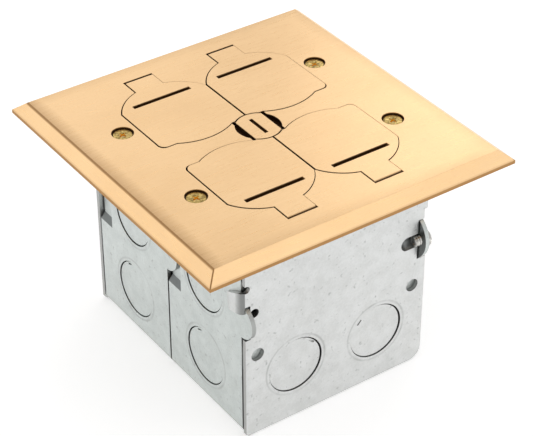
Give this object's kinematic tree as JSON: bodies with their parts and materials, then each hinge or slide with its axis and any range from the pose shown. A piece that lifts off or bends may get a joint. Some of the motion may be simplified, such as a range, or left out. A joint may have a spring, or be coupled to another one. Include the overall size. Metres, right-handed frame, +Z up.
{
  "type": "floor socket box",
  "caption": "Floor socket box: bevelled brushed brass cover with flip lids and a coin-turned lock over ganged galvanised steel boxes that hold duplex receptacles.",
  "frame": {"origin": "middle of the cover, on the underside of the box", "axes": "+Z up through the cover, X along each receptacle, Y from gang to gang"},
  "size_m": [0.127, 0.1294, 0.09],
  "materials": {
    "brass_cover": "brushed satin",
    "brass_lid": "brushed satin",
    "brass_lock": "brushed satin",
    "brass_screw": "polished",
    "foam_gasket": "closed-cell foam",
    "spring_steel": "zinc plated",
    "galvanised_steel": "galvanised, fine spangle",
    "zinc_screw": "zinc plated",
    "green_screw": "green passivated",
    "plated_strap": "zinc plated",
    "outlet_moulding": "brown moulded",
    "housing_moulding": "black moulded",
    "brass_contact": "stamped",
    "nickel_screw": "nickel plated"
  },
  "bodies": {
    "root": {"cover_plate": "brass_cover", "lid_hinge_pins": "brass_lock", "lock_washer": "spring_steel", "cover_gasket": "foam_gasket", "cover_screws": "brass_screw", "box_body_back": "galvanised_steel", "box_body_front": "galvanised_steel", "side_plate_front": "galvanised_steel", "side_plate_back": "galvanised_steel", "ganging_screws": "zinc_screw", "box_ground_screws": "green_screw", "receptacle_back_strap": "plated_strap", "receptacle_back_face": "outlet_moulding", "receptacle_back_housing": "housing_moulding", "receptacle_back_hot_contacts": "brass_contact", "receptacle_back_neutral_contacts": "brass_contact", "receptacle_back_ground_contacts": "brass_contact", "receptacle_back_hot_screws": "brass_screw", "receptacle_back_neutral_screws": "nickel_screw", "receptacle_back_ground_screw": "green_screw", "receptacle_back_rivets": "spring_steel", "receptacle_front_strap": "plated_strap", "receptacle_front_face": "outlet_moulding", "receptacle_front_housing": "housing_moulding", "receptacle_front_hot_contacts": "brass_contact", "receptacle_front_neutral_contacts": "brass_contact", "receptacle_front_ground_contacts": "brass_contact", "receptacle_front_hot_screws": "brass_screw", "receptacle_front_neutral_screws": "nickel_screw", "receptacle_front_ground_screw": "green_screw", "receptacle_front_rivets": "spring_steel"},
    "lid_1": {"flip_lid_1": "brass_lid"},
    "lid_2": {"flip_lid_2": "brass_lid"},
    "lid_3": {"flip_lid_3": "brass_lid"},
    "lid_4": {"flip_lid_4": "brass_lid"},
    "lock": {"lock_cam": "brass_lock", "lock_stop_arm": "spring_steel", "lock_nut": "spring_steel"}
  },
  "joints": [
    {"name": "lid_1_hinge", "type": "hinge", "parent": "root", "child": "lid_1", "pos_m": [-0.01805, 0.0488, 0.0885], "axis": [-1, 0, 0], "range_deg": [0, 125]},
    {"name": "lid_2_hinge", "type": "hinge", "parent": "root", "child": "lid_2", "pos_m": [0.01805, 0.0488, 0.0885], "axis": [-1, 0, 0], "range_deg": [0, 125]},
    {"name": "lid_3_hinge", "type": "hinge", "parent": "root", "child": "lid_3", "pos_m": [-0.01805, -0.0488, 0.0885], "axis": [1, 0, 0], "range_deg": [0, 125]},
    {"name": "lid_4_hinge", "type": "hinge", "parent": "root", "child": "lid_4", "pos_m": [0.01805, -0.0488, 0.0885], "axis": [1, 0, 0], "range_deg": [0, 125]},
    {"name": "lock_turn", "type": "hinge", "parent": "root", "child": "lock", "pos_m": [0, 0, 0.0885], "axis": [0, 0, 1], "range_deg": [0, 90]}
  ]
}
